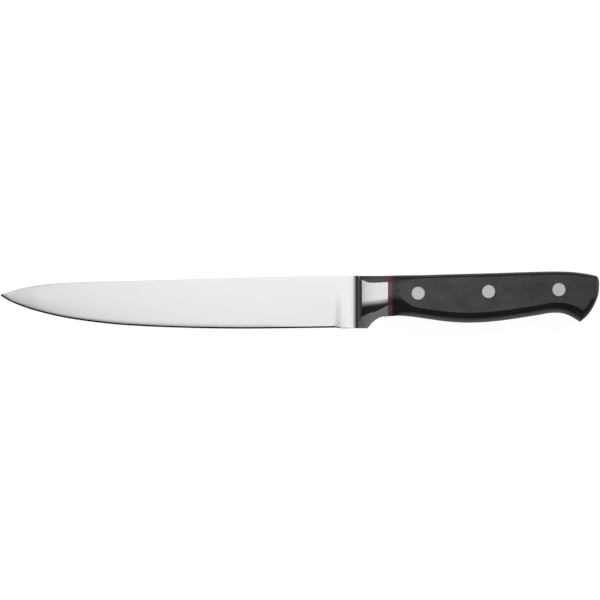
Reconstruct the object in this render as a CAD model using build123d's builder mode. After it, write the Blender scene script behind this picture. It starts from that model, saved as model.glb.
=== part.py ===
from build123d import *
import math
import os

# Carving knife with a full tang, lying on its right side. Millimetres, +Z up.
# X runs from the tip to the butt, Y from the cutting edge to the spine, Z from right to left
# through the thickness. The origin is the middle of the knife's box, on the surface below it.
# Here a place is a distance from the tip, a height is a distance above the lowest point of the
# cutting edge, and a depth is a distance from the knife's middle plane.

# Overall sizes
blade_length = 200.0          # tip to the front of the bolster
bolster_length = 18.0
handle_length = 119.0         # rear of the bolster to the butt
overall_height = 32.3         # cutting edge to the top of the handle
grip_thickness = 18.0         # across the two flats of the handle

# Blade
spine_thickness = 2.4         # at the heel; the unground heel and the tang have it too
tip_spine_thickness = 1.2
shoulder_thickness = 0.7      # where the flat grind meets the cutting bevel
bevel_height = 0.9
point_bevel_share = 0.33      # at the point, the most of the blade's height that the bevel takes
land_thickness = 0.08         # width left on the sharpened edge
heel_length = 8.0             # unground length in front of the bolster
heel_edge_thickness = 2.0     # the heel's blunt edge
heel_edge_height = 0.3        # height over which the heel narrows to it
plunge_length = 3.6           # slope from the flat grind up to the heel

# Bolster
hollow_radius = 6.4           # ground hollow that leads from the blade out to the bolster
hollow_lead = 3.0             # length of the hollow in front of the bolster
crown_edge_bulge = 0.08       # how far the slopes beside the bolster's top stand out
guard_rise = 0.2              # heel and guard stand this far above the edge's lowest point

# Handle
spacer_thickness = 2.5
liner_thickness = 0.8
ground_off = 0.6              # taken off each side of the moulded handle to make its flats
crown_drop = 3.7              # fall of the top's round, from its middle to its sides
crown_bulge = 0.62            # how far the top's rounded corners stand out
belly_rise = 7.9              # rise of the belly's round, from its middle to its sides
belly_bulge = 1.3
keel_width = 8.0              # flat along the middle of the belly
side_swell = 0.9              # crown of the moulded side, left in front of the flats
butt_fall = 1.6               # how far the butt's round falls towards the blade at its sides
butt_rise = 3.4               # how far it rises there

# Rivets
rivet_head_diameter = 7.5
rivet_head_thickness = 2.2
rivet_tube_diameter = 5.0
rivet_pin_diameter = 3.2
first_rivet_setback = 17.0    # behind the bolster
last_rivet_setback = 22.8     # in front of the butt
rivet_fit = 0.05              # radial clearance in every rivet hole
rivet_end_gap = 0.4           # left at each blind end of a joined rivet

# Worked out from the sizes above
overall_length = blade_length + bolster_length + handle_length
bolster_rear = blade_length + bolster_length
spacer_rear = bolster_rear + spacer_thickness
heel_start = blade_length - heel_length
ground_length = heel_start - plunge_length
half_grip = grip_thickness / 2
half_moulded = half_grip + ground_off
half_tang = spine_thickness / 2
liner_outside = half_tang + liner_thickness
overrun = grip_thickness      # how far cuts and hidden ends run past the shape

# Blade's outline from the point to the heel: place as a share of the ground length, then the
# spine's height and the edge's height as shares of the overall height
blade_shares = (
    (0.000, 0.603, 0.571),
    (0.022, 0.637, 0.493),
    (0.050, 0.687, 0.420),
    (0.085, 0.732, 0.346),
    (0.130, 0.771, 0.272),
    (0.185, 0.799, 0.200),
    (0.250, 0.814, 0.138),
    (0.330, 0.824, 0.082),
    (0.420, 0.838, 0.045),
    (0.520, 0.853, 0.020),
    (0.625, 0.868, 0.005),
    (0.730, 0.886, 0.000),
    (0.830, 0.902, 0.005),
    (0.920, 0.913, 0.012),
    (1.000, 0.922, 0.018),
)

# Bolster's sections: place as a share of its length, then the heights of the top, the upper
# corner, the lower corner and the keel as shares of the overall height, then the half widths at
# the upper corner, the swell, the lower corner and the keel as shares of half the grip
bolster_shares = (
    (-0.22, 0.920, 0.898, 0.115, -0.250, 0.66, 0.74, 0.42, 0.03),
    (0.17, 0.924, 0.853, 0.185, -0.095, 0.70, 0.78, 0.52, 0.05),
    (0.37, 0.926, 0.808, 0.238, 0.012, 0.74, 0.80, 0.58, 0.17),
    (0.56, 0.926, 0.800, 0.285, 0.128, 0.75, 0.80, 0.62, 0.29),
    (0.75, 0.926, 0.804, 0.335, 0.196, 0.76, 0.80, 0.66, 0.36),
    (1.00, 0.927, 0.812, 0.405, 0.214, 0.77, 0.805, 0.70, 0.37),
)

# Handle's sections behind the bolster: place as a share of the handle's length, the top's and
# the belly's heights as shares of the overall height, then how far the section and the belly's
# rise have gone from the bolster's rear section to the full moulded section
handle_shares = (
    (0.060, 0.932, 0.230, 0.62, 0.62),
    (0.120, 0.935, 0.212, 0.95, 0.95),
    (0.190, 0.940, 0.176, 1.00, 1.00),
    (0.270, 0.949, 0.135, 1.00, 1.00),
    (0.360, 0.958, 0.112, 1.00, 1.00),
    (0.450, 0.966, 0.119, 1.00, 1.00),
    (0.540, 0.976, 0.150, 1.00, 1.00),
    (0.630, 0.987, 0.197, 1.00, 1.00),
    (0.710, 0.995, 0.244, 1.00, 1.00),
    (0.780, 1.000, 0.283, 1.00, 1.06),
    (0.835, 0.998, 0.267, 1.00, 1.30),
    (0.880, 0.989, 0.192, 1.00, 2.10),
    (0.908, 0.977, 0.126, 1.00, 2.50),
    (0.955, 0.950, 0.000, 1.00, 2.80),
    (1.010, 0.903, -0.150, 1.00, 3.00),
)

# Butt's outline from above its top corner to below the beak: places as shares of the handle's
# length, heights as shares of the overall height
butt_shares = (
    (0.965, 0.965),
    (0.985, 0.918),
    (0.997, 0.860),
    (0.9993, 0.760),
    (0.995, 0.590),
    (0.975, 0.400),
    (0.946, 0.240),
    (0.909, 0.118),
    (0.870, 0.000),
)

# Butt's round through the thickness: level as a share of half the grip, share of the full fall
butt_round_shares = (
    (0.000, 0.00),
    (0.320, 0.00),
    (0.560, 0.01),
    (0.720, 0.04),
    (0.840, 0.22),
    (0.930, 0.55),
    (1.000, 1.00),
)

# Top's slopes: how far in they lean for each unit of fall, and the share of the fall left above
crown_lean_share = 0.7
crest_fall_share = 0.05

# Rivets' heights as shares of the overall height, from front to rear
rivet_height_shares = (0.618, 0.647, 0.681)

side_plane = Plane(
    origin=(-overall_length / 2, -overall_height / 2, half_grip),
    x_dir=(1, 0, 0),
    z_dir=(0, 0, 1),
)


def cross_plane(place):
    """Plane across the knife: its x is the height and its y runs through the thickness."""
    return Plane(
        origin=side_plane.from_local_coords((place, 0, 0)),
        x_dir=(0, 1, 0),
        z_dir=(1, 0, 0),
    )


def between(start, end, share):
    """The value a share of the way from start to end."""
    return start + (end - start) * share


def bolster_measures(size_shares):
    """Heights and half widths of a bolster section, from its row of shares."""
    heights = [share * overall_height for share in size_shares[:4]]
    half_widths = [share * half_grip for share in size_shares[4:]]
    return heights, half_widths


def blade_section(place, heights, thicknesses):
    """Section of the blade: spine, flat grind, cutting bevel and edge."""
    left_side = [(height, thickness / 2) for height, thickness in zip(heights, thicknesses)]
    right_side = [(height, -depth) for height, depth in reversed(left_side)]
    with BuildSketch(cross_plane(place)) as section:
        with BuildLine():
            Polyline(*left_side, *right_side, close=True)
        make_face()
    return section.sketch


def bulged_middle(low, high, bulge):
    """Point beside the middle of the line from low to high, bulge away from the knife."""
    rise = Vector(high[0] - low[0], high[1] - low[1])
    outward = Vector(-rise.Y, rise.X).normalized() * bulge
    middle = Vector(low[0], low[1]) + rise / 2 + outward
    return middle.X, middle.Y


def grip_section(place, heights, half_widths, crown_out, belly_out):
    """Section of the bolster or the handle: rounded top, swelling sides, bevelled belly, keel."""
    top, upper, lower, keel = heights
    upper_half, swell_half, lower_half, keel_half = half_widths
    fall = top - upper
    crest = top - crest_fall_share * fall
    crest_half = upper_half - crown_lean_share * fall
    swell = (upper + lower) / 2
    corner = bulged_middle((upper, upper_half), (crest, crest_half), crown_out)
    belly = bulged_middle((keel, keel_half), (lower, lower_half), belly_out)
    with BuildSketch(cross_plane(place)) as section:
        with BuildLine():
            ThreePointArc((crest, -crest_half), (top, 0), (crest, crest_half))
            ThreePointArc((crest, crest_half), corner, (upper, upper_half))
            ThreePointArc((upper, upper_half), (swell, swell_half), (lower, lower_half))
            Spline((lower, lower_half), belly, (keel, keel_half))
            Line((keel, keel_half), (keel, -keel_half))
            Spline((keel, -keel_half), (belly[0], -belly[1]), (lower, -lower_half))
            ThreePointArc((lower, -lower_half), (swell, -swell_half), (upper, -upper_half))
            ThreePointArc((upper, -upper_half), (corner[0], -corner[1]), (crest, -crest_half))
        make_face()
    return section.sketch


# Sections of the blade, thinning towards the tip
ground_sections = []
for place_share, spine_share, edge_share in blade_shares:
    spine = spine_share * overall_height
    edge = edge_share * overall_height
    shoulder = edge + min(bevel_height, point_bevel_share * (spine - edge))
    taper = between(tip_spine_thickness, spine_thickness, place_share)
    ground_sections.append(
        blade_section(
            place_share * ground_length,
            (spine, shoulder, edge),
            (taper, shoulder_thickness, land_thickness),
        )
    )

# Section of the unground heel, which runs on from the last spine height
heel_section = blade_section(
    heel_start,
    (spine, guard_rise + heel_edge_height, guard_rise),
    (spine_thickness, spine_thickness, heel_edge_thickness),
)

# Sections of the bolster
bolster_sections = []
for place_share, *size_shares in bolster_shares:
    place = blade_length + place_share * bolster_length
    bolster_sections.append(
        grip_section(place, *bolster_measures(size_shares), crown_edge_bulge, 0)
    )

# Sections of the handle as moulded, starting from the bolster's rear section
joint_heights, joint_half_widths = bolster_measures(bolster_shares[-1][1:])
joint_crown_drop = joint_heights[0] - joint_heights[1]
joint_belly_rise = joint_heights[2] - joint_heights[3]
full_half_widths = (half_moulded, half_moulded + side_swell, half_moulded, keel_width / 2)
handle_sections = [bolster_sections[-1]]
for place_share, top_share, keel_share, fullness_share, rise_share in handle_shares:
    top = top_share * overall_height
    keel = keel_share * overall_height
    upper = top - between(joint_crown_drop, crown_drop, fullness_share)
    lower = keel + between(joint_belly_rise, belly_rise, rise_share)
    half_widths = [
        between(joint, full, fullness_share)
        for joint, full in zip(joint_half_widths, full_half_widths)
    ]
    place = bolster_rear + place_share * handle_length
    crown_out = between(crown_edge_bulge, crown_bulge, fullness_share)
    belly_out = belly_bulge * fullness_share
    handle_sections.append(
        grip_section(place, (top, upper, lower, keel), half_widths, crown_out, belly_out)
    )

# Slab with the handle's two flats and its rounded butt
slab_sections = []
right_round = [(-level_share, fall_share) for level_share, fall_share in butt_round_shares[:0:-1]]
for level_share, fall_share in (*right_round, *butt_round_shares):
    butt_points = [
        (
            bolster_rear + place_share * handle_length - butt_fall * fall_share,
            height_share * overall_height + butt_rise * fall_share,
        )
        for place_share, height_share in butt_shares
    ]
    with BuildSketch(side_plane.offset(level_share * half_grip)) as slab_section:
        with BuildLine():
            Spline(*butt_points)
            Polyline(
                butt_points[-1],
                (butt_points[-1][0], -overrun),
                (blade_length, -overrun),
                (blade_length, overall_height + overrun),
                (butt_points[0][0], overall_height + overrun),
                butt_points[0],
            )
        make_face()
    slab_sections.append(slab_section.sketch)

with BuildPart() as slab:
    loft(sections=slab_sections)

# Handle as ground: every piece behind the bolster is cut from this one form
with BuildPart() as grip:
    loft(sections=handle_sections)
    add(slab.part, mode=Mode.INTERSECT)

# Rivet seats on both flats, from front to rear, each facing out of the handle
first_rivet_place = bolster_rear + first_rivet_setback
last_rivet_place = overall_length - last_rivet_setback
rivet_pitch = (last_rivet_place - first_rivet_place) / (len(rivet_height_shares) - 1)
left_seats = []
right_seats = []
for number, height_share in enumerate(rivet_height_shares):
    seat = (first_rivet_place + number * rivet_pitch, height_share * overall_height)
    left_origin = side_plane.from_local_coords((*seat, half_grip))
    right_origin = side_plane.from_local_coords((*seat, -half_grip))
    left_seats.append(Plane(origin=left_origin, x_dir=(1, 0, 0), z_dir=(0, 0, 1)))
    right_seats.append(Plane(origin=right_origin, x_dir=(1, 0, 0), z_dir=(0, 0, -1)))

head_hole_radius = rivet_head_diameter / 2 + rivet_fit
tube_hole_radius = rivet_tube_diameter / 2 + rivet_fit
pin_hole_radius = rivet_pin_diameter / 2 + rivet_fit

# Bolster, its front ground into a hollow on each side and its guard ground level with the edge
hollow_plane = Plane(
    origin=side_plane.from_local_coords((blade_length - hollow_lead, -overrun, 0)),
    x_dir=(1, 0, 0),
    z_dir=(0, 1, 0),
)
hollow_middle = (
    hollow_radius * math.sin(math.pi / 4),
    half_tang + hollow_radius * (1 - math.cos(math.pi / 4)),
)
hollow_end = (hollow_radius, half_tang + hollow_radius)
guard_plane = Plane(origin=side_plane.from_local_coords((0, guard_rise, 0)), z_dir=(0, 1, 0))
with BuildPart() as bolster:
    loft(sections=bolster_sections)
    with BuildSketch(hollow_plane):
        with BuildLine():
            ThreePointArc((0, half_tang), hollow_middle, hollow_end)
            Polyline(
                hollow_end,
                (hollow_radius, half_tang + overrun),
                (-overrun, half_tang + overrun),
                (-overrun, half_tang),
                (0, half_tang),
            )
        make_face()
        mirror(about=Plane.XZ)
    extrude(amount=overall_height + 2 * overrun, mode=Mode.SUBTRACT)
    split(bisect_by=guard_plane, keep=Keep.TOP)

# Tang, the full outline of the handle
with BuildPart() as tang:
    add(grip.part)
    split(bisect_by=side_plane.offset(half_tang), keep=Keep.BOTTOM)
    split(bisect_by=side_plane.offset(-half_tang), keep=Keep.TOP)
    with Locations(*left_seats):
        Hole(tube_hole_radius, depth=grip_thickness)

# Blade, bolster and tang, one forging
with BuildPart() as blade:
    loft(sections=ground_sections)
    loft(sections=[ground_sections[-1], heel_section], ruled=True)
    extrude(heel_section, amount=heel_length + hollow_radius)
    add(bolster.part)
    add(tang.part)
blade.part.label = "blade"

# Red spacer between the bolster and the scale
with BuildPart() as left_spacer:
    add(grip.part)
    split(bisect_by=side_plane.offset(half_tang), keep=Keep.TOP)
    split(bisect_by=cross_plane(spacer_rear), keep=Keep.BOTTOM)
left_spacer.part.label = "left_spacer"

# Thin red liner between the tang and the scale
with BuildPart() as left_liner:
    add(grip.part)
    split(bisect_by=side_plane.offset(half_tang), keep=Keep.TOP)
    split(bisect_by=side_plane.offset(liner_outside), keep=Keep.BOTTOM)
    split(bisect_by=cross_plane(spacer_rear), keep=Keep.TOP)
    with Locations(*left_seats):
        Hole(tube_hole_radius, depth=grip_thickness)
left_liner.part.label = "left_liner"

# Moulded scale, ground flat, with a counterbore for each rivet's head
with BuildPart() as left_scale:
    add(grip.part)
    split(bisect_by=side_plane.offset(liner_outside), keep=Keep.TOP)
    split(bisect_by=cross_plane(spacer_rear), keep=Keep.TOP)
    with Locations(*left_seats):
        CounterBoreHole(tube_hole_radius, head_hole_radius, rivet_head_thickness, depth=grip_thickness)
left_scale.part.label = "left_scale"

# The right side mirrors the left
with BuildPart() as right_spacer:
    mirror(left_spacer.part, about=side_plane)
right_spacer.part.label = "right_spacer"

with BuildPart() as right_liner:
    mirror(left_liner.part, about=side_plane)
right_liner.part.label = "right_liner"

with BuildPart() as right_scale:
    mirror(left_scale.part, about=side_plane)
right_scale.part.label = "right_scale"

pieces = [blade, left_scale, right_scale, left_liner, right_liner, left_spacer, right_spacer]

# Rivets: a headed tube from the left takes a headed pin from the right
under_head = half_grip - rivet_head_thickness
for name, left_seat, right_seat in zip(("front", "middle", "rear"), left_seats, right_seats):
    with BuildPart() as rivet_tube:
        with BuildSketch(left_seat):
            Circle(rivet_head_diameter / 2)
        extrude(amount=-rivet_head_thickness)
        with BuildSketch(left_seat.offset(-rivet_head_thickness)):
            Circle(rivet_tube_diameter / 2)
            Circle(pin_hole_radius, mode=Mode.SUBTRACT)
        extrude(amount=-(2 * under_head - rivet_end_gap))
    rivet_tube.part.label = f"{name}_rivet_tube"
    pieces.append(rivet_tube)

    with BuildPart() as rivet_pin:
        with BuildSketch(right_seat):
            Circle(rivet_head_diameter / 2)
        extrude(amount=-rivet_head_thickness)
        with BuildSketch(right_seat.offset(-rivet_head_thickness)):
            Circle(rivet_pin_diameter / 2)
        extrude(amount=-(2 * under_head - rivet_end_gap))
    rivet_pin.part.label = f"{name}_rivet_pin"
    pieces.append(rivet_pin)

os.makedirs("parts", exist_ok=True)
for piece in pieces:
    export_step(piece.part, f"parts/{piece.part.label}.step")
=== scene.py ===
import math

import bmesh
import bpy
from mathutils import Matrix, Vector


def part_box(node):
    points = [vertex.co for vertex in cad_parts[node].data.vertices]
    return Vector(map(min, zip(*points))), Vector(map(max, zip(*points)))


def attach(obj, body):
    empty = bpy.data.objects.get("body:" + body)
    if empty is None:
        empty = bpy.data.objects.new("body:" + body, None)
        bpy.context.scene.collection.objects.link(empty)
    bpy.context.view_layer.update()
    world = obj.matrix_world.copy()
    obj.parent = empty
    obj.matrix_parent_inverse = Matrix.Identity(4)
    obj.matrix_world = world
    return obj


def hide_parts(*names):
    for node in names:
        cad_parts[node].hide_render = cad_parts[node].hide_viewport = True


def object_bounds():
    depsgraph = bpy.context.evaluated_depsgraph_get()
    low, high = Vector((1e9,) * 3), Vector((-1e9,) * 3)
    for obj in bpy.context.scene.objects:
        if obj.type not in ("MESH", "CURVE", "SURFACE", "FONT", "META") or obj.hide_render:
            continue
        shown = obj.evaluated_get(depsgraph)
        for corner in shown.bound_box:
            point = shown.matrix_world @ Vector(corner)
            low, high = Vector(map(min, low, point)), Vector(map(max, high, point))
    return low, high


# Carving knife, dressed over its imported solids. Metres, +Z up, the tip at -X, the spine at +Y.
# As in the solids, a place is a distance from the tip, a height is above the lowest point of the
# cutting edge, and a depth is from the knife's middle plane, positive on its left side.

bl_info = {
    "name": "Carving knife",
    "version": (1, 0, 0),
    "blender": (4, 5, 0),
    "location": "3D View > Sidebar > Knife",
    "description": "Builds a riveted full-tang carving knife and a plain studio round it",
    "category": "Add Mesh",
}

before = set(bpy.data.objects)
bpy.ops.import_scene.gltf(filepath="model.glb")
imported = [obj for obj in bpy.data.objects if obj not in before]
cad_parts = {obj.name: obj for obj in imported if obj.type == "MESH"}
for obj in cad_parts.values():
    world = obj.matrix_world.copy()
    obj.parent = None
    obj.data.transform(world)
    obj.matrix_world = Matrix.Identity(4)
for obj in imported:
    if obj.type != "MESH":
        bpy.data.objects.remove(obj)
cad_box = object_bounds()

SPACER_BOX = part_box("left_spacer")
LINER_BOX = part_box("left_liner")
SCALE_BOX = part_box("left_scale")
# Kept off the overall height, so that the top's smooth curve stays under the solids' top
TOP_SLACK = 0.000004
TALL = cad_box[1].y - cad_box[0].y - TOP_SLACK
BODY = "root"
RIVETS = ("front", "middle", "rear")

# Blade's outline: place as a share of the ground length, then the spine's and the edge's heights
# as shares of the overall height
BLADE_SHARES = (
    (0.000, 0.603, 0.571),
    (0.022, 0.637, 0.493),
    (0.050, 0.687, 0.420),
    (0.085, 0.732, 0.346),
    (0.130, 0.771, 0.272),
    (0.185, 0.799, 0.200),
    (0.250, 0.814, 0.138),
    (0.330, 0.824, 0.082),
    (0.420, 0.838, 0.045),
    (0.520, 0.853, 0.020),
    (0.625, 0.868, 0.005),
    (0.730, 0.886, 0.000),
    (0.830, 0.902, 0.005),
    (0.920, 0.913, 0.012),
    (1.000, 0.922, 0.018),
)

# Bolster: place as a share of its length, heights of the top, the upper corner, the lower corner
# and the keel, then half widths at the upper corner, the swell, the lower corner and the keel
BOLSTER_SHARES = (
    (-0.22, 0.920, 0.898, 0.115, -0.250, 0.66, 0.74, 0.42, 0.03),
    (0.17, 0.924, 0.853, 0.185, -0.095, 0.70, 0.78, 0.52, 0.05),
    (0.37, 0.926, 0.808, 0.238, 0.012, 0.74, 0.80, 0.58, 0.17),
    (0.56, 0.926, 0.800, 0.285, 0.128, 0.75, 0.80, 0.62, 0.29),
    (0.75, 0.926, 0.804, 0.335, 0.196, 0.76, 0.80, 0.66, 0.36),
    (1.00, 0.927, 0.812, 0.405, 0.214, 0.77, 0.805, 0.70, 0.37),
)

# Handle: place as a share of its length, heights of the top and the belly, then how far the
# section and the belly's rise have gone from the bolster's rear section to the full one
HANDLE_SHARES = (
    (0.000, 0.927, 0.214, 0.00, 0.00),
    (0.060, 0.932, 0.230, 0.62, 0.62),
    (0.120, 0.935, 0.212, 0.95, 0.95),
    (0.190, 0.940, 0.176, 1.00, 1.00),
    (0.270, 0.949, 0.135, 1.00, 1.00),
    (0.360, 0.958, 0.112, 1.00, 1.00),
    (0.450, 0.966, 0.119, 1.00, 1.00),
    (0.540, 0.976, 0.150, 1.00, 1.00),
    (0.630, 0.987, 0.197, 1.00, 1.00),
    (0.710, 0.995, 0.244, 1.00, 1.00),
    (0.780, 1.000, 0.283, 1.00, 1.06),
    (0.835, 0.998, 0.267, 1.00, 1.30),
    (0.880, 0.989, 0.192, 1.00, 2.10),
    (0.908, 0.977, 0.126, 1.00, 2.50),
    (0.955, 0.950, 0.000, 1.00, 2.80),
    (1.010, 0.903, -0.150, 1.00, 3.00),
)

# Butt's outline, from above its top corner to below the beak
BUTT_SHARES = (
    (0.965, 0.965),
    (0.985, 0.918),
    (0.997, 0.860),
    (0.9993, 0.760),
    (0.995, 0.590),
    (0.975, 0.400),
    (0.946, 0.240),
    (0.909, 0.118),
    (0.870, 0.000),
)

# Top's slopes: how far in they lean for each unit of fall, and the share of the fall left above
CROWN_LEAN_SHARE = 0.7
CREST_FALL_SHARE = 0.05

# Keel: how far down the scale's rim, the foot of the liner's step and the tang's corner stand, as
# shares of the bulge, and the furthest out that each may lie, as a share of the keel's half width
KEEL_STEPS = ((0.05, 0.7), (0.8, 0.68), (0.9, 0.4))
LINER_LEAN = 0.00005

# Steps round the grip's section, along it as shares of each part's length, and round the butt
CREST_STEPS, CORNER_STEPS, SIDE_STEPS = 12, 16, 18
BOLSTER_STEP, HANDLE_STEP, BUTT_STEP = 0.05, 0.0115, 0.125

# Butt's round: where across the half grip it starts, and its steps there
ROUND_START, ROUND_STEP = 0.62, 0.032

# Blade's side: steps down it, steps in the last of them, which rounds off to the bevel, and along
# the ground length the shares at which the belly and this rounding are full and the rounding ends
BLADE_SIDE_STEPS, SHOULDER_STEPS = 14, 4
BELLY_FULL, ROUNDED_FULL, ROUNDED_END, ROUNDED_FADE = 0.1, 0.3, 0.9, 0.1

# How far the cuts of the hollow and the guard pass the blade's faces, so that none coincide
HOLLOW_SINK, GUARD_SINK = 0.00002, 0.00001
HOLLOW_TURN = math.radians(1.5)

# Distances under which points count as one: on a turned axis, a sawn face, a finished piece
TURNED_GAP, SAW_GAP, PIECE_GAP = 1e-7, 1e-8, 2e-7

# Material numbers of the forging's faces: the bolster's side and its lower facet have one each,
# so that the edge between them stays crisp
SATIN, WHETTED, SIDE, LOWER_FACET, TANG, HOLLOW, HOLLOW_END = range(7)
MOULDED, GROUND = range(2)

# Painted shade on the bolster: its colour is darkest at the hollow's crease and brightens backwards
# from it
CREASE_SHADE_LENGTH = 0.0073
CREASE_SHADE_STOPS = ((0.0, 0.62), (0.22, 0.8), (0.5, 0.9), (1.0, 1.02))

# Level panels of light: name, X range, Y range, height and radiance
PANELS = (
    # Softbox over the knife, brightest past the tip and dimmer the further it reaches, because
    # the blade mirrors the near end and the hollow mirrors the far one
    ("high softbox", (-1.4, 3.0), (-1.44, 3.2), 6.0, 0.28),
    ("high softbox", (-2.2, -1.4), (-1.44, 3.2), 6.0, 0.9),
    ("high softbox", (-3.1, -2.2), (-1.44, 3.2), 6.0, 0.74),
    ("high softbox", (-4.4, -3.1), (-1.44, 3.2), 6.0, 0.54),
    ("high softbox", (-6.2, -4.4), (-1.44, 3.2), 6.0, 0.31),
    ("high softbox", (-9.0, -6.2), (-1.44, 3.2), 6.0, 0.11),
    # Smaller one close above the knife
    ("low softbox", (-0.205, 0.2), (-0.288, 0.64), 1.2, 0.8),
    # Dimmer strips along the lower side, which soften the end of the bolster's shine
    ("softbox edge", (-1.4, 3.0), (-1.74, -1.44), 6.0, 0.68),
    ("softbox spill", (-1.4, 3.0), (-2.04, -1.74), 6.0, 0.42),
    ("softbox spill", (-1.4, 3.0), (-2.34, -2.04), 6.0, 0.2),
)

# Panels of light that face the knife: name, place, size and radiance
CARDS = (
    # Grey cards that the bolster's lower facet and its top mirror
    ("front card", (0.0, -4.6, 3.4), (6.0, 2.6), 0.19),
    ("rear card", (0.0, 5.0, 2.0), (6.0, 1.5), 0.085),
    ("low rear card", (0.0, 5.4, 0.65), (6.0, 1.2), 0.055),
    # Pale cards off the corners, which the blade mirrors when it is seen from low down
    ("corner card", (-4.2, 4.2, 2.2), (3.4, 3.0), 0.6),
    ("corner card", (4.2, -4.2, 2.2), (3.4, 3.0), 0.6),
    ("corner card", (-4.2, -4.2, 2.2), (3.4, 3.0), 0.6),
    # Off the butt's top corner, where no round of the knife mirrors it
    ("key light", (3.25, 3.25, 3.4), (3.0, 2.0), 17.0),
)

# Paper floor: half its side, how far under the knife it lies, its own brightness and its grey
FLOOR_HALF, FLOOR_DROP, PAPER_GLOW, PAPER_GREY = 90.0, 0.0002, 0.965, "#5a5a5a"

# Camera: height above the knife and width of the view
CAMERA_DISTANCE, VIEW_WIDTH = 8.0, 0.338


def linear(hex_colour):
    """Linear colour of an sRGB hex value."""
    channels = [int(hex_colour[i : i + 2], 16) / 255 for i in (1, 3, 5)]
    return [c / 12.92 if c <= 0.04045 else ((c + 0.055) / 1.055) ** 2.4 for c in channels]


def length(title, words, default):
    """A property that holds a length."""
    return bpy.props.FloatProperty(
        name=title, description=words, default=default, min=0.0, unit="LENGTH", precision=5
    )


def tint(title, words, hex_colour):
    """A property that holds a colour."""
    return bpy.props.FloatVectorProperty(
        name=title,
        description=words,
        default=linear(hex_colour),
        min=0.0,
        max=1.0,
        subtype="COLOR",
    )


class KnifeSizes(bpy.types.PropertyGroup):
    """Sizes and colours of the knife."""

    blade_length: length("Blade length", "From the tip to the front of the bolster", 0.200)
    bolster_length: length("Bolster length", "Along the knife", 0.018)
    handle_length: length("Handle length", "From the bolster to the butt", 0.119)
    overall_height: length("Overall height", "From the cutting edge to the handle's top", TALL)
    grip_thickness: length("Grip thickness", "Across the handle's two flats", SCALE_BOX[1].z)
    spine_thickness: length("Spine thickness", "At the heel and through the tang", 0.0024)
    tip_thickness: length("Tip thickness", "Of the spine at the tip", 0.0012)
    spine_round: length("Spine rounding", "Radius of the spine's two long edges", 0.00025)
    heel_belly: length("Heel belly", "How far each ground side stands out at the heel", 0.0001)
    point_belly: length("Point belly", "How far it stands out near the point", 0.0004)
    shoulder_thickness: length("Shoulder thickness", "Above the cutting bevel", 0.0007)
    shoulder_fall: length("Shoulder fall", "How far the side rounds off to the bevel", 0.0001)
    bevel_height: length("Bevel height", "Of the cutting bevel", 0.0009)
    land_thickness: length("Edge thickness", "Left on the cutting edge", 0.00008)
    heel_length: length("Heel length", "Unground length in front of the bolster", 0.008)
    heel_edge: length("Heel edge", "Thickness of the heel's blunt edge", 0.002)
    heel_edge_height: length("Heel edge height", "Over which the heel narrows to it", 0.0003)
    plunge_length: length("Plunge length", "Slope from the ground side up to the heel", 0.0036)
    guard_rise: length("Guard rise", "Of the heel and guard above the edge", 0.0002)
    hollow_radius: length("Hollow radius", "Of the hollow in front of the bolster", 0.0064)
    hollow_lead: length("Hollow lead", "Length of the hollow before the bolster", 0.003)
    moulded_excess: length("Moulded excess", "Ground off each side of the handle", 0.0006)
    side_swell: length("Side swell", "Of the moulded sides", 0.0009)
    crown_drop: length("Crown drop", "Fall of the top's round to its sides", 0.0037)
    crown_bulge: length("Crown bulge", "Of the top's rounded corners", 0.00062)
    crest_bulge: length("Crest bulge", "Of the slopes beside the bolster's top", 0.00008)
    belly_rise: length("Belly rise", "Of the belly's round to its sides", 0.0079)
    belly_bulge: length("Belly bulge", "Of the belly's round", 0.0013)
    keel_width: length("Keel width", "Flat along the middle of the belly", 0.008)
    keel_bulge: length("Keel bulge", "How far the liners and the tang stand out of it", 0.00025)
    butt_fall: length("Butt fall", "Of the butt's round towards the blade", 0.0016)
    butt_rise: length("Butt rise", "Of the butt's round along the butt", 0.0034)
    sanded_height: length("Sanded height", "Middle of the zone sanded beside the bolster", 0.0223)
    sanded_half: length("Sanded half", "Half of the fully sanded zone", 0.0028)
    sanded_fade: length("Sanded fade", "Over which the sanding fades out", 0.004)
    rivet_head: length("Rivet head", "Thickness of each head", 0.0022)
    rivet_tube: length("Rivet tube", "Diameter of the tubular shank", 0.005)
    rivet_pin: length("Rivet pin", "Diameter of the solid shank", 0.0032)
    rivet_fit: length("Rivet fit", "Radial clearance in each hole", 0.00005)
    rivet_chamfer: length("Rivet chamfer", "Ground on the rim of each head", 0.00012)
    steel_colour: tint("Blade", "Satin steel of the blade", "#fafaf9")
    bolster_colour: tint("Bolster", "Polished steel of the bolster", "#d7d7d6")
    rivet_colour: tint("Rivets", "Ground steel of the rivets", "#d8d4d3")
    scale_colour: tint("Scales", "Black of the moulded scales", "#181617")
    flat_colour: tint("Flats", "Black of the scales where ground flat", "#3a3738")
    liner_colour: tint("Liners", "Red of the liners and spacers", "#6c293c")


def between(start, end, share):
    """The value a share of the way from start to end."""
    return start + (end - start) * share


def eased(share):
    """A share that starts and ends level."""
    return share * share * (3 - 2 * share)


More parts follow.
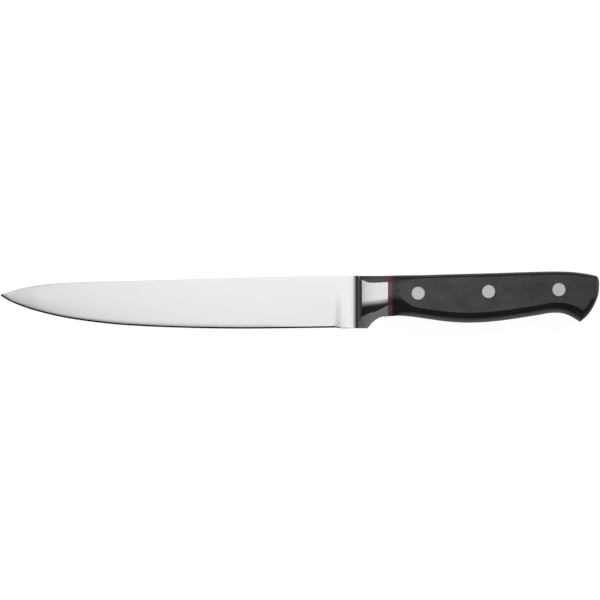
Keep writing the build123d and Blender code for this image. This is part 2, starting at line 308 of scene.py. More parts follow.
def smooth_row(table, at):
    """Every column of a table at a value of its first, on smooth curves through the rows."""
    last = len(table) - 1
    low = max(i for i in range(last) if i == 0 or table[i][0] <= at)
    span = table[low + 1][0] - table[low][0]
    share = (at - table[low][0]) / span

    def slope(row, column):
        if row in (0, last):
            near = 1 if row == 0 else last - 1
            return (table[near][column] - table[row][column]) / (table[near][0] - table[row][0])
        before = (table[row][0] - table[row - 1][0], table[row][column] - table[row - 1][column])
        after = (table[row + 1][0] - table[row][0], table[row + 1][column] - table[row][column])
        weighted = before[1] / before[0] * after[0] + after[1] / after[0] * before[0]
        return weighted / (before[0] + after[0])

    values = []
    for column in range(1, len(table[0])):
        start, end = table[low][column], table[low + 1][column]
        lead = share * (1 - share) ** 2 * span * slope(low, column)
        trail = share**2 * (1 - share) * span * slope(low + 1, column)
        values.append(between(start, end, eased(share)) + lead - trail)
    return values


def spread(start, end, step):
    """Values from start to end at even steps no longer than step."""
    count = math.ceil((end - start) / step - 1e-6)
    return [between(start, end, i / count) for i in range(count + 1)]


def bow(start, middle, end, count):
    """Points on a smooth bow from start through middle, without its end."""
    pull = [2 * m - (s + e) / 2 for s, m, e in zip(start, middle, end)]
    points = []
    for i in range(count):
        t = i / count
        points.append(
            tuple(
                (1 - t) ** 2 * s + 2 * t * (1 - t) * p + t * t * e
                for s, p, e in zip(start, pull, end)
            )
        )
    return points


def loft(rings):
    """A closed bmesh through rings of equally many points: one face, extruded and reshaped."""
    shape = bmesh.new()
    order = shape.verts.layers.int.new("order")
    corners = [shape.verts.new(point) for point in rings[0]]
    for number, corner in enumerate(corners):
        corner[order] = number
    face = shape.faces.new(corners)
    for number, ring in enumerate(rings[1:]):
        made = bmesh.ops.extrude_face_region(shape, geom=[face])["geom"]
        if number > 0:
            bmesh.ops.delete(shape, geom=[face], context="FACES_ONLY")
        face = next(part for part in made if isinstance(part, bmesh.types.BMFace))
        for corner in face.verts:
            corner.co = ring[corner[order]]
    bmesh.ops.recalc_face_normals(shape, faces=shape.faces)
    return shape


def turned(profile, centre, steps=72):
    """A turned bmesh, its axis along Z, from (radius, z) points that start and end on the axis."""
    shape = bmesh.new()
    corners = [shape.verts.new((centre.x + radius, centre.y, z)) for radius, z in profile]
    edges = [shape.edges.new(pair) for pair in zip(corners, corners[1:])]
    bmesh.ops.spin(
        shape,
        geom=corners + edges,
        cent=centre,
        axis=(0, 0, 1),
        angle=2 * math.pi,
        steps=steps,
        use_merge=True,
    )
    bmesh.ops.remove_doubles(shape, verts=shape.verts, dist=TURNED_GAP)
    bmesh.ops.recalc_face_normals(shape, faces=shape.faces)
    return shape


def carve(shape, cutter, operation):
    """Boolean of two bmeshes, both of which it uses up."""
    holders = []
    for part in (shape, cutter):
        mesh = bpy.data.meshes.new("blank")
        part.to_mesh(mesh)
        part.free()
        holders.append(bpy.data.objects.new("blank", mesh))
        bpy.context.scene.collection.objects.link(holders[-1])
    step = holders[0].modifiers.new("carve", "BOOLEAN")
    step.operation = operation
    step.object = holders[1]
    step.solver = "EXACT"
    bpy.context.view_layer.update()
    made = bmesh.new()
    made.from_object(holders[0], bpy.context.evaluated_depsgraph_get())
    for holder in holders:
        mesh = holder.data
        bpy.data.objects.remove(holder)
        bpy.data.meshes.remove(mesh)
    return made


def saw(shape, point, normal):
    """Cuts off what lies on the normal's side of a plane and closes the cut."""
    cut = bmesh.ops.bisect_plane(
        shape,
        geom=shape.verts[:] + shape.edges[:] + shape.faces[:],
        dist=SAW_GAP,
        plane_co=point,
        plane_no=normal,
        clear_outer=True,
    )["geom_cut"]
    rim = [part for part in cut if isinstance(part, bmesh.types.BMEdge)]
    bmesh.ops.contextual_create(shape, geom=rim)
    return shape


def piece(name, shape, materials, slot, nodes, finish=lambda face: 0, crease=25.0):
    """Makes a finished piece of a bmesh: materials by face, sharp creases, its node hidden. Its
    slot argument is not used.
    """
    bmesh.ops.remove_doubles(shape, verts=shape.verts, dist=PIECE_GAP)
    bmesh.ops.recalc_face_normals(shape, faces=shape.faces)
    for face in shape.faces:
        face.smooth = True
        face.material_index = finish(face)
    for edge in shape.edges:
        sides = {face.material_index for face in edge.link_faces}
        edge.smooth = len(sides) == 1 and edge.calc_face_angle(0) < math.radians(crease)
    mesh = bpy.data.meshes.new(name)
    shape.to_mesh(mesh)
    shape.free()
    for material in materials:
        mesh.materials.append(material)
    made = bpy.data.objects.new(name, mesh)
    bpy.context.scene.collection.objects.link(made)
    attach(made, BODY)
    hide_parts(*nodes)
    return made


class Knife:
    """The knife's own directions and the forms that several pieces are cut from."""

    def __init__(self, sizes):
        self.sizes = sizes
        self.overall_length = sizes.blade_length + sizes.bolster_length + sizes.handle_length
        self.bolster_rear = sizes.blade_length + sizes.bolster_length
        self.half_grip = sizes.grip_thickness / 2
        self.half_tang = sizes.spine_thickness / 2
        self.liner_depth = LINER_BOX[1].z - self.half_grip
        self.overrun = sizes.grip_thickness
        self.ground_length = sizes.blade_length - sizes.heel_length - sizes.plunge_length

    def at(self, place, height, depth):
        """A point of the scene from the knife's own measures."""
        return Vector(
            (
                place - self.overall_length / 2,
                height + cad_box[0].y,
                depth + self.half_grip,
            )
        )

    def ring(self, place, left_side):
        """A closed ring across the knife from (height, depth) points, middle to middle."""
        right_side = [(height, -depth) for height, depth in left_side[-2:0:-1]]
        return [self.at(place, height, depth) for height, depth in left_side + right_side]

    def grip_ring(self, place, heights, half_widths, crown_out, belly_out, keel_out):
        """Ring of the bolster or the handle."""
        top, upper, lower, keel = heights
        upper_half, swell_half, lower_half, keel_half = half_widths
        fall = top - upper
        crest = top - CREST_FALL_SHARE * fall
        crest_half = upper_half - CROWN_LEAN_SHARE * fall
        swell = (upper + lower) / 2

        def beside(low, high, out):
            rise = Vector((high[0] - low[0], high[1] - low[1]))
            outward = Vector((-rise.y, rise.x)).normalized() * out
            return tuple(Vector(low) + rise / 2 + outward)

        corner = beside((upper, upper_half), (crest, crest_half), crown_out)
        belly = beside((keel, keel_half), (lower, lower_half), belly_out)
        crest_bow = bow((crest, -crest_half), (top, 0), (crest, crest_half), CREST_STEPS)
        left_side = [
            *crest_bow[CREST_STEPS // 2 :],
            *bow((crest, crest_half), corner, (upper, upper_half), CORNER_STEPS),
            *bow((upper, upper_half), (swell, swell_half), (lower, lower_half), SIDE_STEPS),
            *bow((lower, lower_half), belly, (keel, keel_half), CORNER_STEPS),
            (keel, keel_half),
        ]
        depths = (self.liner_depth, self.liner_depth - LINER_LEAN, self.half_tang)
        for depth, (down, widest) in zip(depths, KEEL_STEPS):
            left_side.append((keel - down * keel_out, min(depth, widest * keel_half)))
        left_side.append((keel - keel_out, 0))
        return self.ring(place, left_side)

    def grip(self):
        """Bolster and handle as one form, moulded and then ground flat and round at the butt."""
        sizes = self.sizes
        tall = sizes.overall_height
        rings = []
        for share in spread(BOLSTER_SHARES[0][0], BOLSTER_SHARES[-1][0], BOLSTER_STEP):
            row = smooth_row(BOLSTER_SHARES, share)
            heights = [value * tall for value in row[:4]]
            half_widths = [value * self.half_grip for value in row[4:]]
            place = sizes.blade_length + share * sizes.bolster_length
            rings.append(self.grip_ring(place, heights, half_widths, sizes.crest_bulge, 0, 0))
        joint_drop = heights[0] - heights[1]
        joint_rise = heights[2] - heights[3]
        moulded = self.half_grip + sizes.moulded_excess
        full = (moulded, moulded + sizes.side_swell, moulded, sizes.keel_width / 2)
        for share in spread(0.0, HANDLE_SHARES[-1][0], HANDLE_STEP)[1:]:
            top, keel, fullness, rise = smooth_row(HANDLE_SHARES, share)
            top, keel = top * tall, keel * tall
            upper = top - between(joint_drop, sizes.crown_drop, fullness)
            lower = keel + between(joint_rise, sizes.belly_rise, rise)
            widths = [between(near, far, fullness) for near, far in zip(half_widths, full)]
            crown_out = between(sizes.crest_bulge, sizes.crown_bulge, fullness)
            place = self.bolster_rear + share * sizes.handle_length
            belly_out = sizes.belly_bulge * fullness
            keel_out = sizes.keel_bulge * fullness
            heights = (top, upper, lower, keel)
            rings.append(self.grip_ring(place, heights, widths, crown_out, belly_out, keel_out))
        return carve(loft(rings), self.slab(), "INTERSECT")

    def slab(self):
        """What the grinding leaves: two flats and the round of the butt."""
        sizes = self.sizes
        numbered = [(float(i), *row) for i, row in enumerate(BUTT_SHARES)]
        steps = spread(0.0, len(BUTT_SHARES) - 1.0, BUTT_STEP)
        outline = [smooth_row(numbered, i) for i in steps]
        corner_start = ROUND_START * self.half_grip
        radius = ((self.half_grip - corner_start) ** 2 + sizes.butt_fall**2) / (2 * sizes.butt_fall)
        depths = spread(corner_start, self.half_grip, self.half_grip * ROUND_STEP)
        depths = [-depth for depth in reversed(depths)] + depths
        rings = []
        for depth in depths:
            past = max(abs(depth) - corner_start, 0)
            fall = radius - math.sqrt(radius**2 - past**2)
            rise = fall * sizes.butt_rise / sizes.butt_fall
            butt = [
                (
                    self.bolster_rear + place * sizes.handle_length - fall,
                    height * sizes.overall_height + rise,
                )
                for place, height in outline
            ]
            front = sizes.blade_length - self.overrun
            around = [(butt[-1][0], -self.overrun), (front, -self.overrun)]
            around += [(front, 3 * self.overrun), (butt[0][0], 3 * self.overrun)]
            rings.append([self.at(place, height, depth) for place, height in butt + around])
        return loft(rings)

    def block(self, start, end, low, high, near, far):
        """A block between two places, heights and depths."""
        corners = [(low, near), (high, near), (high, far), (low, far)]
        return loft([[self.at(place, *corner) for corner in corners] for place in (start, end)])

    def hollow(self, side):
        """What the grinding of the hollow takes off one side of the bolster's front."""
        sizes = self.sizes
        start = sizes.blade_length - sizes.hollow_lead
        sunk = self.half_tang - HOLLOW_SINK
        radius = sizes.hollow_radius
        profile = [
            (start + radius * math.sin(turn), sunk + radius * (1 - math.cos(turn)))
            for turn in spread(0, math.pi / 2, HOLLOW_TURN)
        ]
        profile += [(start + radius, self.overrun), (start - self.overrun, self.overrun)]
        profile += [(start - self.overrun, sunk)]
        heights = (-self.overrun, 3 * self.overrun)
        return loft([[self.at(p, h, side * d) for p, d in profile] for h in heights])

    def blade_ring(self, place, spine, edge, spine_thickness, shoulder, land, belly, fall=0.0):
        """Ring of the blade: rounded spine, gently bellied ground side, cutting bevel."""
        sizes = self.sizes
        # Smaller near the tip, where the blade is hardly deeper than the rounding
        round_off = min(sizes.spine_round, (spine - edge) / 6)
        half_spine, half_shoulder = spine_thickness / 2, shoulder[1] / 2
        foot = edge + shoulder[0]
        left_side = [(spine, 0), (spine, half_spine - round_off)]
        for turn in (30, 60):
            turn = math.radians(turn)
            left_side.append(
                (
                    spine - round_off * (1 - math.cos(turn)),
                    half_spine - round_off * (1 - math.sin(turn)),
                )
            )
        sides = spread(0.0, 1.0, 1 / BLADE_SIDE_STEPS)
        rounded = sides[-2]
        for share in sides[:-1] + spread(rounded, 1.0, (1 - rounded) / SHOULDER_STEPS)[1:]:
            side = between(half_spine, half_shoulder, share) + belly * 4 * share * (1 - share)
            side -= fall * (max(share - rounded, 0) / (1 - rounded)) ** 2
            left_side.append((between(spine - round_off, foot, share), side))
        left_side += [(edge, land / 2), (edge, 0)]
        return self.ring(place, left_side)

    def blade(self):
        """Blade from the tip to inside the bolster."""
        sizes = self.sizes
        rings = []
        # Rings close together at the tip, and then at every hundredth of the ground length
        for share in [eased(s) * 0.06 for s in spread(0, 0.5, 0.1)] + spread(0.035, 1.0, 0.01):
            heights = smooth_row(BLADE_SHARES, share)
            spine, edge = [height * sizes.overall_height for height in heights]
            bevel = min(sizes.bevel_height, (spine - edge) / 3)
            taper = between(sizes.tip_thickness, sizes.spine_thickness, share)
            belly = between(sizes.point_belly, sizes.heel_belly, share)
            belly *= min(share / BELLY_FULL, 1.0)
            fading = max((ROUNDED_END - share) / ROUNDED_FADE, 0.0)
            fall = sizes.shoulder_fall * min(share / ROUNDED_FULL, fading, 1.0)
            ring = (taper, (bevel, sizes.shoulder_thickness), sizes.land_thickness, belly, fall)
            rings.append(self.blade_ring(share * self.ground_length, spine, edge, *ring))
        full = sizes.spine_thickness
        for rise in spread(0.0, 1.0, 0.25)[1:]:
            place = self.ground_length + rise * sizes.plunge_length
            ring = (
                between(edge, sizes.guard_rise, rise),
                full,
                (
                    between(sizes.bevel_height, sizes.heel_edge_height, rise),
                    between(sizes.shoulder_thickness, full, rise),
                ),
                between(sizes.land_thickness, sizes.heel_edge, rise),
                sizes.heel_belly * (1 - rise),
            )
            rings.append(self.blade_ring(place, spine, *ring))
        end = sizes.blade_length + sizes.hollow_radius
        ring = (full, (sizes.heel_edge_height, full), sizes.heel_edge, 0)
        rings.append(self.blade_ring(end, spine, sizes.guard_rise, *ring))
        return loft(rings)

    def edge_height(self, x):
        """Height of the cutting edge at a scene X."""
        share = (x + self.overall_length / 2) / self.ground_length
        if share >= 1:
            return self.sizes.guard_rise
        return smooth_row(BLADE_SHARES, max(share, 0.0))[1] * self.sizes.overall_height


def node(tree, kind, settings=None, links=None):
    """Adds a node: settings go to its stops, attributes or sockets, links join its sockets."""
    made = tree.nodes.new(kind)
    for name, value in (settings or {}).items():
        if name == "stops":
            elements = made.color_ramp.elements
            for position, tone in value[2:]:
                elements.new(position)
            for element, (position, tone) in zip(elements, value):
                element.position = position
                element.color = (*(tone if hasattr(tone, "__len__") else [tone] * 3), 1)
        elif isinstance(name, str) and hasattr(made, name):
            setattr(made, name, value)
        else:
            made.inputs[name].default_value = value
    for name, source in (links or {}).items():
        tree.links.new(source, made.inputs[name])
    return made


def new_material(name):
    """An empty node material and its tree."""
    material = bpy.data.materials.new(name)
    material.use_nodes = True
    material.node_tree.nodes.clear()
    return material, material.node_tree


def surface(tree, shader):
    """Makes a shader the material's surface."""
    node(tree, "ShaderNodeOutputMaterial", links={"Surface": shader.outputs[0]})


def grain(tree, sizes, detail=2.0, seed=0.0):
    """Noise on Object coordinates whose marks have these sizes in metres along X, Y and Z."""
    place = node(tree, "ShaderNodeTexCoord")
    scaled = node(
        tree,
        "ShaderNodeMapping",
        {"Scale": [1 / size for size in sizes], "Location": (seed, seed, seed)},
        {"Vector": place.outputs["Object"]},
    )
    noise = node(
        tree,
        "ShaderNodeTexNoise",
        {"Scale": 1.0, "Detail": detail, "Roughness": 0.6},
        {"Vector": scaled.outputs[0]},
    )
    return noise.outputs["Fac"]


def toned(tree, source, low, high, ends=(0.3, 0.7)):
    """Spreads a noise's middle values between two greys or linear colours."""
    stops = [(ends[0], low), (ends[1], high)]
    return node(tree, "ShaderNodeValToRGB", {"stops": stops}, {"Fac": source}).outputs["Color"]


def shaded(colour, share):
    """A colour made darker or lighter by a share."""
    return [min(channel * share, 1.0) for channel in colour]


def steel(name, colour, lines, tones, roughness, relief, crease_shade=None):
    """A stainless steel: metallic, with the marks of the tool that finished it."""
    material, tree = new_material(name)
    marks = grain(tree, lines, 3.0)
    base = toned(tree, marks, *(shaded(colour, tone) for tone in tones))
    # Painted shade, when given: the base colour darkened by a ramp along X
    if crease_shade:
        place = node(tree, "ShaderNodeTexCoord")
        parts = node(tree, "ShaderNodeSeparateXYZ", links={0: place.outputs["Object"]})
        ends = {"From Min": crease_shade[0], "From Max": crease_shade[1]}
        share = node(tree, "ShaderNodeMapRange", ends, {"Value": parts.outputs["X"]})
        stops = {"stops": CREASE_SHADE_STOPS}
        crease_shade_ramp = node(tree, "ShaderNodeValToRGB", stops, {"Fac": share.outputs[0]})
        base = node(
            tree,
            "ShaderNodeVectorMath",
            {"operation": "MULTIPLY"},
            {0: base, 1: crease_shade_ramp.outputs["Color"]},
        ).outputs[0]
    depth = {"Strength": relief, "Distance": 0.00002}
    bump = node(tree, "ShaderNodeBump", depth, {"Height": marks})
    metal = node(
        tree,
        "ShaderNodeBsdfPrincipled",
        {"Metallic": 1.0},
        {
            "Base Color": base,
            "Roughness": toned(tree, marks, *roughness),
            "Normal": bump.outputs[0],
        },
    )
    surface(tree, metal)
    return material


def plastic(name, colour, marks, tones, roughness, relief, level):
    """A moulded plastic: dielectric, with fine marks in its tone and gloss."""
    material, tree = new_material(name)
    noise = grain(tree, marks, 4.0)
    depth = {"Strength": relief, "Distance": 0.00003}
    bump = node(tree, "ShaderNodeBump", depth, {"Height": noise})
    body = node(
        tree,
        "ShaderNodeBsdfPrincipled",
        {"IOR": 1.6, "Specular IOR Level": level},
        {
            "Base Color": toned(tree, noise, *(shaded(colour, tone) for tone in tones)),
            "Roughness": toned(tree, noise, *roughness),
            "Normal": bump.outputs[0],
        },
    )
    surface(tree, body)
    return material


def scale_plastic(name, moulded, ground, sanded, falloff_span, level):
    """The scale's acetal: black where moulded, and greyer, mottled and scratched where sanded."""
    material, tree = new_material(name)
    # Wide cloudy patches, as a grinding belt leaves where it presses harder
    patches = toned(tree, grain(tree, (0.014, 0.009, 0.009), 3.0), 0.75, 1.2, (0.35, 0.65))
    # Scratches along the flat, wider than real ones, which would be too fine to show
    scratches = toned(tree, grain(tree, (0.005, 0.0004, 0.004), 2.0, 3.0), 1.0, 1.35, (0.56, 0.7))
    # Sparse pale specks, where the plastic was bruised
    specks = toned(tree, grain(tree, (0.0007, 0.0005, 0.0007), 1.0, 7.0), 1.0, 2.4, (0.68, 0.74))
    place = node(tree, "ShaderNodeTexCoord")
    parts = node(tree, "ShaderNodeSeparateXYZ", links={0: place.outputs["Object"]})
    # Painted light falloff: lighter near the bolster and darker towards the butt
    painted_falloff = node(
        tree,
        "ShaderNodeMapRange",
        {"From Min": falloff_span[0], "From Max": falloff_span[1], "To Min": 1.25, "To Max": 0.65},
        {"Value": parts.outputs["X"]},
    )
    marks = patches
    for source in (scratches, specks, painted_falloff.outputs["Result"]):
        multiply = {"operation": "MULTIPLY"}
        marks = node(tree, "ShaderNodeVectorMath", multiply, {0: marks, 1: source}).outputs[0]
    middle, near, far = sanded
    away = node(
        tree, "ShaderNodeMath", {"operation": "SUBTRACT", 1: middle}, {0: parts.outputs["Y"]}
    )
    away = node(tree, "ShaderNodeMath", {"operation": "ABSOLUTE"}, {0: away.outputs[0]})
    share = node(
        tree,
        "ShaderNodeMapRange",
        {"interpolation_type": "SMOOTHSTEP", "From Min": far, "From Max": near},
        {"Value": away.outputs[0]},
    ).outputs["Result"]
    base = node(
        tree,
        "ShaderNodeVectorMath",
        {"operation": "MULTIPLY"},
        {0: toned(tree, share, moulded, ground, (0.0, 1.0)), 1: marks},
    )
    bump = node(
        tree, "ShaderNodeBump", {"Strength": 0.1, "Distance": 0.00003}, {"Height": scratches}
    )
    body = node(
        tree,
        "ShaderNodeBsdfPrincipled",
        {"IOR": 1.48, "Specular IOR Level": level},
        {
            "Base Color": base.outputs[0],
            "Roughness": toned(tree, share, 0.3, 0.58, (0.0, 1.0)),
            "Normal": bump.outputs[0],
        },
    )
    surface(tree, body)
    return material


class KNIFE_OT_forging(bpy.types.Operator):
    """Grind and polish the forging: blade, bolster and tang"""

    bl_idname = "knife.forging"
    bl_label = "Forging"

    def execute(self, context):
        sizes = context.scene.knife_sizes
        knife = Knife(sizes)
        high, low = 3 * knife.overrun, -knife.overrun
        rear = knife.overall_length + knife.overrun
        body = knife.grip()
        for side in (1, -1):
            away = knife.block(
                knife.bolster_rear, rear, low, high, side * knife.half_tang, side * knife.overrun
            )
            body = carve(body, away, "DIFFERENCE")
            body = carve(body, knife.hollow(side), "DIFFERENCE")
        body = saw(body, knife.at(0, sizes.guard_rise - GUARD_SINK, 0), (0, -1, 0))
        body = carve(body, knife.blade(), "UNION")

        plunge_x = knife.at(sizes.blade_length - sizes.heel_length, 0, 0).x
        hollow_x = knife.at(sizes.blade_length - sizes.hollow_lead, 0, 0).x
        crease_x = hollow_x + sizes.hollow_radius
        rear_x = knife.at(knife.bolster_rear, 0, 0).x
        base_y = knife.at(0, 0, 0).y
        # Past the bolster's end face, below the bevel's upper quarter, and the normals past which
        # a face is on the lower facet, in the hollow and in the hollow's steep end
        end_gap, bevel_share = 1e-5, 0.75
        facet_normal, hollow_normal, steep_normal = -0.3, -0.03, -0.72

        def finish(face):
            middle = face.calc_center_median()
            if middle.x > rear_x + end_gap:
                return TANG
            if middle.x < hollow_x:
                above = middle.y - base_y - knife.edge_height(middle.x)
                bevel = sizes.bevel_height if middle.x < plunge_x else sizes.heel_edge_height
                return WHETTED if above < bevel * bevel_share else SATIN
            if face.normal.y < facet_normal:
                return LOWER_FACET
            if face.normal.x > hollow_normal or middle.x > crease_x:
                return SIDE
            return HOLLOW_END if face.normal.x < steep_normal else HOLLOW

        # Fine lines across the blade, which spread the light to an even pale grey. Real ones are
        # 0.05 mm apart, too fine to show, so they are drawn 0.5 mm apart and faint
        satin = steel(
            "stainless steel, satin ground",
            sizes.steel_colour,
            (0.0005, 0.03, 0.03),
            (0.99, 1.0),
            (0.28, 0.295),
            0.015,
        )
        # Bevel from a fine stone, 0.4 mm marks across it. Its colour is painted near black, a
        # painted dark reflection: it turns away and reads as a dark line
        whetted_painted_dark = steel(
            "stainless steel, whetted",
            sizes.steel_colour,
            (0.0004, 0.002, 0.002),
            (0.05, 0.12),
            (0.14, 0.2),
            0.08,
        )
        # Buffed bright: clear mirror images, faintly streaked along the knife every 0.6 mm
        polished = steel(
            "stainless steel, polished",
            sizes.bolster_colour,
            (0.02, 0.0006, 0.0006),
            (0.97, 1.0),
            (0.09, 0.12),
            0.03,
            # Painted shade, darkest at the hollow's crease and lighter backwards from it
            (crease_x, crease_x + CREASE_SHADE_LENGTH),
        )
        # Left by the belt that grinds the handle: 0.3 mm lines along it and a soft shine
        tang = steel(
            "stainless steel, belt ground",
            sizes.bolster_colour,
            (0.01, 0.0003, 0.0004),
            (0.85, 1.0),
            (0.2, 0.3),
            0.2,
        )
        # Ground by a small wheel: a smooth fade from pale to dark, with faint 0.6 mm lines round
        # it, drawn coarser than the real 0.1 mm ones
        hollowed = steel(
            "stainless steel, wheel ground",
            sizes.steel_colour,
            (0.0006, 0.02, 0.02),
            (0.97, 1.0),
            (0.12, 0.15),
            0.03,
        )
        # The same in the hollow's steep end, with its colour about halved: painted shade in the
        # recess
        painted_hollow_shade = steel(
            "stainless steel, wheel ground, dull",
            sizes.steel_colour,
            (0.0006, 0.02, 0.02),
            (0.45, 0.5),
            (0.12, 0.15),
            0.03,
        )
        materials = [satin, whetted_painted_dark, polished, polished, tang, hollowed, painted_hollow_shade]
        piece("blade", body, materials, "blade_steel", ["blade"], finish, crease=20.0)
        return {"FINISHED"}


class KNIFE_OT_grip(bpy.types.Operator):
    """Cut the scales, liners and spacers from one ground form"""

    bl_idname = "knife.grip"
    bl_label = "Scales, liners and spacers"

    def execute(self, context):
        sizes = context.scene.knife_sizes
        knife = Knife(sizes)
        grip = knife.grip()
        tang_side = knife.at(0, 0, knife.half_tang)
        liner_side = Vector((0, 0, LINER_BOX[1].z))
        spacer_rear = Vector((SPACER_BOX[1].x, 0, 0))
        bolster_rear = knife.at(knife.bolster_rear, 0, 0)
        flat_z = knife.at(0, 0, knife.half_grip).z

        # Pressed paper in resin: a deep even red with the belt's faint 0.6 mm marks and a shine
        red = plastic(
            "vulcanised fibre, dark red, polished",
            sizes.liner_colour,
            (0.002, 0.0006, 0.0006),
            (0.9, 1.1),
            (0.12, 0.2),
            0.05,
            1.0,
        )
        middle = knife.at(0, sizes.sanded_height, 0).y
        tall = sizes.overall_height
        # Where the painted light falloff starts and ends along the handle
        falloff_span = (bolster_rear.x, knife.at(knife.overall_length, 0, 0).x)
        # Near black with a soft gloss that shows the rounds, greyer where a belt sanded it
        gloss = scale_plastic(
            "acetal, moulded black, sanded beside the bolster",
            sizes.scale_colour,
            shaded(sizes.flat_colour, 1.15),
            (middle, sizes.sanded_half, sizes.sanded_half + sizes.sanded_fade),
            falloff_span,
            0.45,
        )
        # Charcoal and matt, with the belt's scratches and cloudy patches
        matt = scale_plastic(
            "acetal, black, ground flat",
            sizes.scale_colour,
            sizes.flat_colour,
            (middle, tall, 2 * tall),
            falloff_span,
            0.5,
        )

        def flats(face):
            height = face.calc_center_median().z
            on_flat = min(abs(height - flat_z), abs(height)) < 1e-6
            return GROUND if on_flat else MOULDED

        scale = saw(grip.copy(), liner_side, (0, 0, -1))
        saw(scale, spacer_rear, (-1, 0, 0))
        liner = saw(grip.copy(), liner_side, (0, 0, 1))
        saw(liner, tang_side, (0, 0, -1))
        saw(liner, spacer_rear, (-1, 0, 0))
        spacer = saw(grip, tang_side, (0, 0, -1))
        saw(spacer, spacer_rear, (1, 0, 0))
        saw(spacer, bolster_rear, (-1, 0, 0))
        tube = sizes.rivet_tube / 2 + sizes.rivet_fit
        for name in RIVETS:
            low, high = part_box(f"{name}_rivet_tube")
            centre = Vector(((low.x + high.x) / 2, (low.y + high.y) / 2, 0))
            head = (high.x - low.x) / 2 + sizes.rivet_fit
            seat = high.z - sizes.rivet_head
            outside = high.z + knife.half_tang
            bore = [(0, 0), (tube, 0), (tube, seat), (head, seat), (head, outside), (0, outside)]
            scale = carve(scale, turned(bore, centre), "DIFFERENCE")
            through = [(0, 0), (tube, 0), (tube, high.z), (0, high.z)]
            liner = carve(liner, turned(through, centre), "DIFFERENCE")

        for kind, shape, materials, slot, finish in (
            ("scale", scale, [gloss, matt], "scale_plastic", flats),
            ("liner", liner, [red], "liner_plastic", lambda face: 0),
            ("spacer", spacer, [red], "liner_plastic", lambda face: 0),
        ):
            twin = shape.copy()
            middle = knife.at(0, 0, 0).z
            bmesh.ops.translate(twin, verts=twin.verts, vec=(0, 0, -middle))
            bmesh.ops.scale(twin, verts=twin.verts, vec=(1, 1, -1))
            bmesh.ops.translate(twin, verts=twin.verts, vec=(0, 0, middle))
            for side, part in (("left", shape), ("right", twin)):
                name = f"{side}_{kind}"
                piece(name, part, materials, slot, [name], finish)
        return {"FINISHED"}


class KNIFE_OT_rivets(bpy.types.Operator):
    """Turn the three rivets, each a headed tube and a headed pin"""

    bl_idname = "knife.rivets"
    bl_label = "Rivets"

    def execute(self, context):
        sizes = context.scene.knife_sizes
        # Ground flush with the scales: 0.3 mm lines along the knife and a soft grey shine
        metal = steel(
            "stainless steel, ground flush",
            sizes.rivet_colour,
            (0.004, 0.0003, 0.0003),
            (0.9, 1.04),
            (0.3, 0.42),
            0.2,
        )
        tube, pin = sizes.rivet_tube / 2, sizes.rivet_pin / 2
        bore = pin + sizes.rivet_fit
        cut = sizes.rivet_chamfer
        for name in RIVETS:
            low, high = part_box(f"{name}_rivet_tube")
            pin_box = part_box(f"{name}_rivet_pin")
            centre = Vector(((low.x + high.x) / 2, (low.y + high.y) / 2, 0))
            head = (high.x - low.x) / 2
            seat = high.z - sizes.rivet_head
            tube_profile = [
                (0, high.z),
                (head - cut, high.z),
                (head, high.z - cut),
                (head, seat),
                (tube, seat),
                (tube, low.z),
                (bore, low.z),
                (bore, seat),
                (0, seat),
            ]
            floor = pin_box[0].z
            pin_profile = [
                (0, floor),
                (head - cut, floor),
                (head, floor + cut),
                (head, floor + sizes.rivet_head),
                (pin, floor + sizes.rivet_head),
                (pin, pin_box[1].z),
                (0, pin_box[1].z),
            ]
            for part, profile in (("tube", tube_profile), ("pin", pin_profile)):
                full = f"{name}_rivet_{part}"
                piece(full, turned(profile, centre), [metal], "rivet_steel", [full])
        return {"FINISHED"}


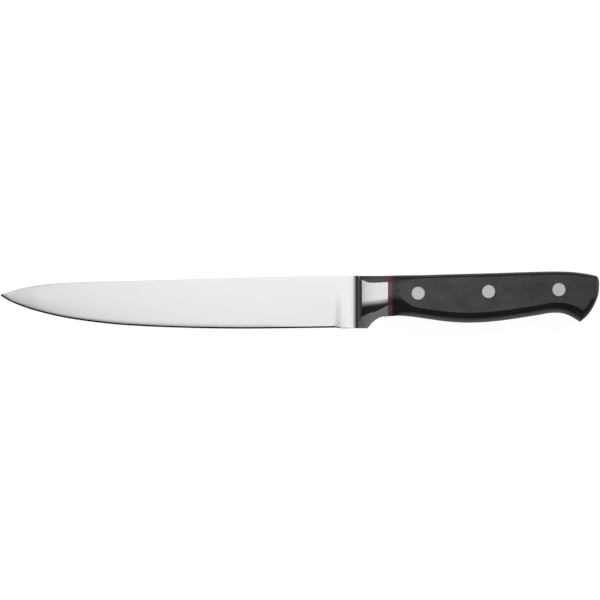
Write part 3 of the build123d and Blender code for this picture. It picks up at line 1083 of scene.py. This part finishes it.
class KNIFE_OT_stage(bpy.types.Operator):
    """Lay the floor, set the lights and place the camera"""

    bl_idname = "knife.stage"
    bl_label = "Stage"

    def execute(self, context):
        self.floor(context)
        for row in PANELS:
            self.panel(context, *row)
        for row in CARDS:
            self.card(context, *row)
        self.sky(context)
        self.camera(context)
        return {"FINISHED"}

    def floor(self, context):
        """Plain white paper that the camera and reflections see as white, with soft shadows."""
        mesh = bpy.data.meshes.new("floor")
        shape = bmesh.new()
        bmesh.ops.create_grid(shape, x_segments=1, y_segments=1, size=FLOOR_HALF)
        shape.to_mesh(mesh)
        shape.free()
        floor = bpy.data.objects.new("floor", mesh)
        context.scene.collection.objects.link(floor)
        floor.location.z = -FLOOR_DROP
        # White to the camera and in mirror images. The light that it scatters is grey, so the
        # knife's shadow shows and the knife isn't lit from below
        material, tree = new_material("paper, matt white")
        path = node(tree, "ShaderNodeLightPath")
        seen = node(
            tree,
            "ShaderNodeMath",
            {"operation": "ADD", "use_clamp": True},
            {0: path.outputs["Is Camera Ray"], 1: path.outputs["Is Glossy Ray"]},
        )
        seen = node(
            tree,
            "ShaderNodeMath",
            {"operation": "ADD", "use_clamp": True},
            {0: seen.outputs[0], 1: path.outputs["Is Transmission Ray"]},
        )
        dimmed = {"operation": "MULTIPLY", 1: PAPER_GLOW}
        glow = node(tree, "ShaderNodeMath", dimmed, {0: seen.outputs[0]})
        white = {"Color": (1, 1, 1, 1)}
        light = node(tree, "ShaderNodeEmission", white, {"Strength": glow.outputs[0]})
        paper = node(tree, "ShaderNodeBsdfDiffuse", {"Color": (*linear(PAPER_GREY), 1)})
        both = node(tree, "ShaderNodeAddShader", links={0: light.outputs[0], 1: paper.outputs[0]})
        surface(tree, both)
        mesh.materials.append(material)

    def panel(self, context, name, across, along, height, radiance):
        """A level panel of light between two X and two Y, facing down."""
        place = (sum(across) / 2, sum(along) / 2, height)
        size = (abs(across[1] - across[0]), along[1] - along[0])
        self.lamp(context, name, place, size, radiance, Vector((0, 0, 1)))

    def card(self, context, name, place, size, radiance):
        """An upright or leaning panel of light that faces the knife."""
        self.lamp(context, name, place, size, radiance, Vector(place))

    def lamp(self, context, name, place, size, radiance, back):
        """A rectangular lamp of a given radiance, shining away from its back."""
        light = bpy.data.lights.new(name, "AREA")
        light.shape = "RECTANGLE"
        light.size, light.size_y = size
        light.energy = radiance * math.pi * size[0] * size[1]
        holder = bpy.data.objects.new(name, light)
        context.scene.collection.objects.link(holder)
        holder.location = place
        holder.rotation_euler = back.to_track_quat("Z", "Y").to_euler()

    def sky(self, context):
        """Dim studio walls and ceiling."""
        world = bpy.data.worlds.new("studio")
        context.scene.world = world
        world.use_nodes = True
        tree = world.node_tree
        tree.nodes.clear()
        place = node(tree, "ShaderNodeTexCoord")
        parts = node(tree, "ShaderNodeSeparateXYZ", links={0: place.outputs["Generated"]})
        stops = [(0.0, 0.03), (1.0, 0.02)]
        grey = node(tree, "ShaderNodeValToRGB", {"stops": stops}, {"Fac": parts.outputs["Z"]})
        back = node(tree, "ShaderNodeBackground", links={"Color": grey.outputs["Color"]})
        node(tree, "ShaderNodeOutputWorld", links={"Surface": back.outputs[0]})

    def camera(self, context):
        """Straight above the knife, with a long lens."""
        camera = bpy.data.cameras.new("camera")
        camera.sensor_width = 36.0
        camera.lens = camera.sensor_width * CAMERA_DISTANCE / VIEW_WIDTH
        camera.clip_start, camera.clip_end = 0.1, 200.0
        eye = bpy.data.objects.new("camera", camera)
        context.scene.collection.objects.link(eye)
        eye.location = (0.0, 0.0, CAMERA_DISTANCE + cad_box[1].z / 2)
        context.scene.camera = eye
        context.scene.view_settings.view_transform = "Standard"


class KNIFE_PT_panel(bpy.types.Panel):
    """Lists the knife's pieces and sizes"""

    bl_label = "Carving knife"
    bl_idname = "KNIFE_PT_panel"
    bl_space_type = "VIEW_3D"
    bl_region_type = "UI"
    bl_category = "Knife"

    def draw(self, context):
        for operator in OPERATORS:
            self.layout.operator(operator.bl_idname)
        for name in KnifeSizes.__annotations__:
            self.layout.prop(context.scene.knife_sizes, name)


OPERATORS = (KNIFE_OT_forging, KNIFE_OT_grip, KNIFE_OT_rivets, KNIFE_OT_stage)
CLASSES = (KnifeSizes, *OPERATORS, KNIFE_PT_panel)


def register():
    for cls in CLASSES:
        bpy.utils.register_class(cls)
    bpy.types.Scene.knife_sizes = bpy.props.PointerProperty(type=KnifeSizes)


def unregister():
    del bpy.types.Scene.knife_sizes
    for cls in reversed(CLASSES):
        bpy.utils.unregister_class(cls)


def main():
    register()
    bpy.ops.knife.forging()
    bpy.ops.knife.grip()
    bpy.ops.knife.rivets()
    bpy.ops.knife.stage()


if __name__ == "__main__":
    main()
